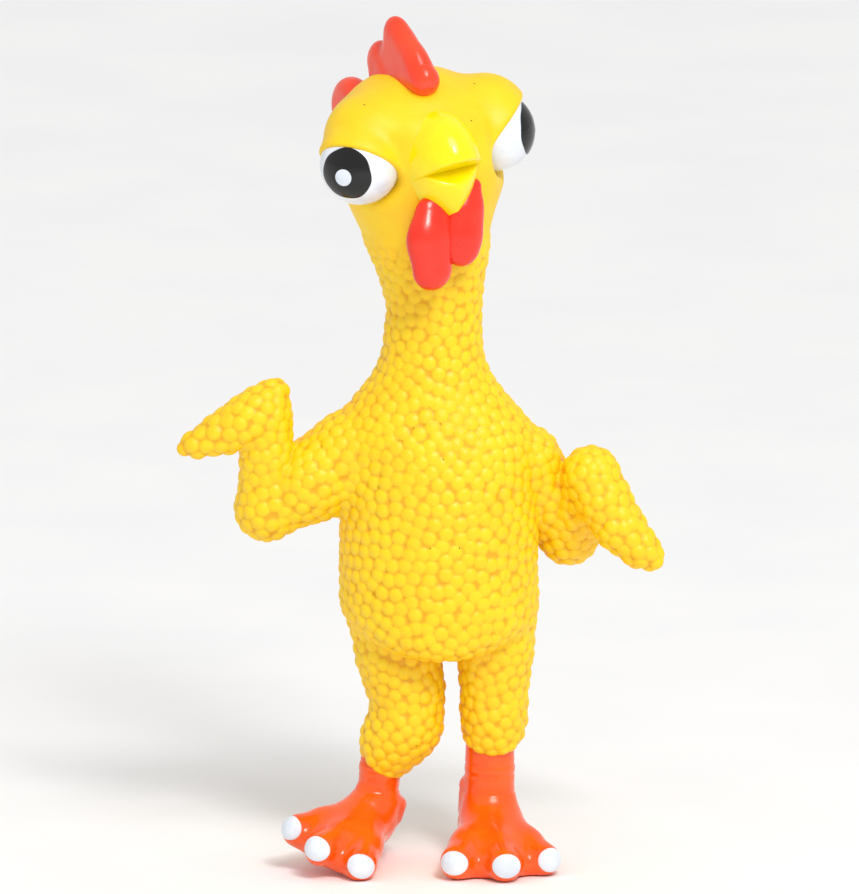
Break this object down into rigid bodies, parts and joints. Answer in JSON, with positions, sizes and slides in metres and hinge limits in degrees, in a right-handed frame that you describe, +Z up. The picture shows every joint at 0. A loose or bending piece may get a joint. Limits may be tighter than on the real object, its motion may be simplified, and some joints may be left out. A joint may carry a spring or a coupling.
{
  "type": "rubber chicken",
  "caption": "Hollow yellow latex chicken with pebbled skin, bending neck, wings and legs, a squeezable belly and a squeaker in its back.",
  "frame": {"origin": "centre of the bounding box, on the ground under the feet", "axes": "+Z up, -Y the way the chicken's body faces, +X its left"},
  "size_m": [0.1292, 0.0584, 0.2292],
  "materials": {
    "yellow_latex": "pebbled cast latex, satin",
    "lemon_paint": "gloss latex paint",
    "orange_paint": "gloss latex paint",
    "red_paint": "gloss latex paint",
    "coral_paint": "gloss latex paint on a thin soft edge",
    "white_paint": "gloss latex paint",
    "black_paint": "high gloss latex paint",
    "squeaker_plastic": "moulded polyethylene",
    "brass_reed": "rolled strip"
  },
  "bodies": {
    "torso": {"torso_skin": "yellow_latex", "neck_nod_band": "yellow_latex", "right_hip_band": "yellow_latex", "left_hip_band": "yellow_latex", "squeaker_case": "squeaker_plastic", "squeaker_grille": "squeaker_plastic", "reed_block": "squeaker_plastic"},
    "belly": {"belly_panel": "yellow_latex"},
    "neck_low": {"neck_ring": "yellow_latex", "neck_tilt_band": "yellow_latex"},
    "neck_high": {"neck_collar": "yellow_latex"},
    "head": {"head_skin": "yellow_latex", "right_eye": "white_paint", "left_eye": "white_paint", "right_iris": "black_paint", "left_iris": "black_paint", "upper_beak": "lemon_paint", "lower_beak": "lemon_paint"},
    "comb": {"comb": "coral_paint"},
    "right_wattle": {"right_wattle": "red_paint"},
    "left_wattle": {"left_wattle": "red_paint"},
    "reed": {"squeaker_reed": "brass_reed"},
    "right_upper_arm": {"right_shoulder_band": "yellow_latex", "right_upper_arm": "yellow_latex"},
    "right_forearm": {"right_elbow_band": "yellow_latex", "right_forearm": "yellow_latex"},
    "right_hand": {"right_wrist_band": "yellow_latex", "right_hand": "yellow_latex"},
    "right_leg": {"right_thigh": "yellow_latex", "right_shank": "orange_paint", "right_ankle_band": "orange_paint"},
    "right_foot": {"right_foot": "orange_paint", "right_hind_toe": "orange_paint", "right_inner_nail": "white_paint", "right_middle_nail": "white_paint", "right_outer_nail": "white_paint"},
    "left_upper_arm": {"left_shoulder_band": "yellow_latex", "left_upper_arm": "yellow_latex"},
    "left_forearm": {"left_elbow_band": "yellow_latex", "left_forearm": "yellow_latex"},
    "left_hand": {"left_wrist_band": "yellow_latex", "left_hand": "yellow_latex"},
    "left_leg": {"left_thigh": "yellow_latex", "left_shank": "orange_paint", "left_ankle_band": "orange_paint"},
    "left_foot": {"left_foot": "orange_paint", "left_hind_toe": "orange_paint", "left_inner_nail": "white_paint", "left_middle_nail": "white_paint", "left_outer_nail": "white_paint"}
  },
  "joints": [
    {"name": "belly_press", "type": "slide", "parent": "torso", "child": "belly", "axis": [0, 1, 0], "range_m": [0, 0.005], "stiffness_N_per_m": 300},
    {"name": "neck_nod", "type": "hinge", "parent": "torso", "child": "neck_low", "pos_m": [0.00309, 0.00416, 0.1387], "axis": [1, 0, 0], "range_deg": [-35, 35], "stiffness_Nm_per_rad": 0.35, "deforming": ["neck_nod_band"]},
    {"name": "neck_tilt", "type": "hinge", "parent": "neck_low", "child": "neck_high", "pos_m": [0.00339, 0.00416, 0.154], "axis": [0, 1, 0], "range_deg": [-30, 30], "stiffness_Nm_per_rad": 0.35, "deforming": ["neck_tilt_band"]},
    {"name": "head_turn", "type": "hinge", "parent": "neck_high", "child": "head", "pos_m": [0.00299, 0.00416, 0.165], "axis": [0, 0, 1], "range_deg": [-40, 40], "stiffness_Nm_per_rad": 0.2},
    {"name": "comb_flop", "type": "hinge", "parent": "head", "child": "comb", "pos_m": [-0.00851, 0.00766, 0.2065], "axis": [-0.4512, 0.8678, -0.2083], "range_deg": [-10, 10], "stiffness_Nm_per_rad": 0.02},
    {"name": "right_wattle_swing", "type": "hinge", "parent": "head", "child": "right_wattle", "pos_m": [0.00289, -0.01834, 0.183], "axis": [0.4695, -0.8829, 0], "range_deg": [-30, 0], "stiffness_Nm_per_rad": 0.005},
    {"name": "left_wattle_swing", "type": "hinge", "parent": "head", "child": "left_wattle", "pos_m": [0.01209, -0.01474, 0.184], "axis": [0.4695, -0.8829, 0], "range_deg": [0, 30], "stiffness_Nm_per_rad": 0.005},
    {"name": "right_shoulder_flap", "type": "hinge", "parent": "torso", "child": "right_upper_arm", "pos_m": [-0.02151, 0.00366, 0.1055], "axis": [0, 1, 0], "range_deg": [-15, 25], "stiffness_Nm_per_rad": 0.08, "deforming": ["right_shoulder_band"]},
    {"name": "right_elbow_bend", "type": "hinge", "parent": "right_upper_arm", "child": "right_forearm", "pos_m": [-0.04201, 0.00166, 0.0958], "axis": [0.1249, -0.9904, -0.0597], "range_deg": [0, 55], "stiffness_Nm_per_rad": 0.05, "deforming": ["right_elbow_band"]},
    {"name": "right_wrist_bend", "type": "hinge", "parent": "right_forearm", "child": "right_hand", "pos_m": [-0.04051, 0.00016, 0.1238], "axis": [-0.1303, 0.9897, 0.06], "range_deg": [0, 50], "stiffness_Nm_per_rad": 0.03, "deforming": ["right_wrist_band"]},
    {"name": "left_shoulder_flap", "type": "hinge", "parent": "torso", "child": "left_upper_arm", "pos_m": [0.03299, 0.00666, 0.105], "axis": [0, -1, 0], "range_deg": [0, 30], "stiffness_Nm_per_rad": 0.08, "deforming": ["left_shoulder_band"]},
    {"name": "left_elbow_bend", "type": "hinge", "parent": "left_upper_arm", "child": "left_forearm", "pos_m": [0.04049, 0.01566, 0.087], "axis": [0.3189, 0.7879, 0.5268], "range_deg": [0, 55], "stiffness_Nm_per_rad": 0.05, "deforming": ["left_elbow_band"]},
    {"name": "left_wrist_bend", "type": "hinge", "parent": "left_forearm", "child": "left_hand", "pos_m": [0.04699, 0.00066, 0.1055], "axis": [-0.6632, -0.6781, -0.3168], "range_deg": [0, 50], "stiffness_Nm_per_rad": 0.03, "deforming": ["left_wrist_band"]},
    {"name": "right_hip_swing", "type": "hinge", "parent": "torso", "child": "right_leg", "pos_m": [-0.00621, 0.00366, 0.056], "axis": [1, 0, 0], "range_deg": [-25, 25], "stiffness_Nm_per_rad": 1.5, "deforming": ["right_hip_band"]},
    {"name": "right_ankle_flex", "type": "hinge", "parent": "right_leg", "child": "right_foot", "pos_m": [-0.01131, 0.00366, 0.0206], "axis": [1, 0, 0], "range_deg": [-25, 25], "stiffness_Nm_per_rad": 1, "deforming": ["right_ankle_band"]},
    {"name": "left_hip_swing", "type": "hinge", "parent": "torso", "child": "left_leg", "pos_m": [0.01929, 0.00366, 0.056], "axis": [1, 0, 0], "range_deg": [-25, 25], "stiffness_Nm_per_rad": 1.5, "deforming": ["left_hip_band"]},
    {"name": "left_ankle_flex", "type": "hinge", "parent": "left_leg", "child": "left_foot", "pos_m": [0.01799, 0.00366, 0.02], "axis": [1, 0, 0], "range_deg": [-25, 25], "stiffness_Nm_per_rad": 1, "deforming": ["left_ankle_band"]},
    {"name": "reed_flutter", "type": "hinge", "parent": "torso", "child": "reed", "pos_m": [0.00549, 0.01606, 0.0886], "axis": [1, 0, 0], "range_deg": [-4, 1.5], "stiffness_Nm_per_rad": 0.00002}
  ]
}
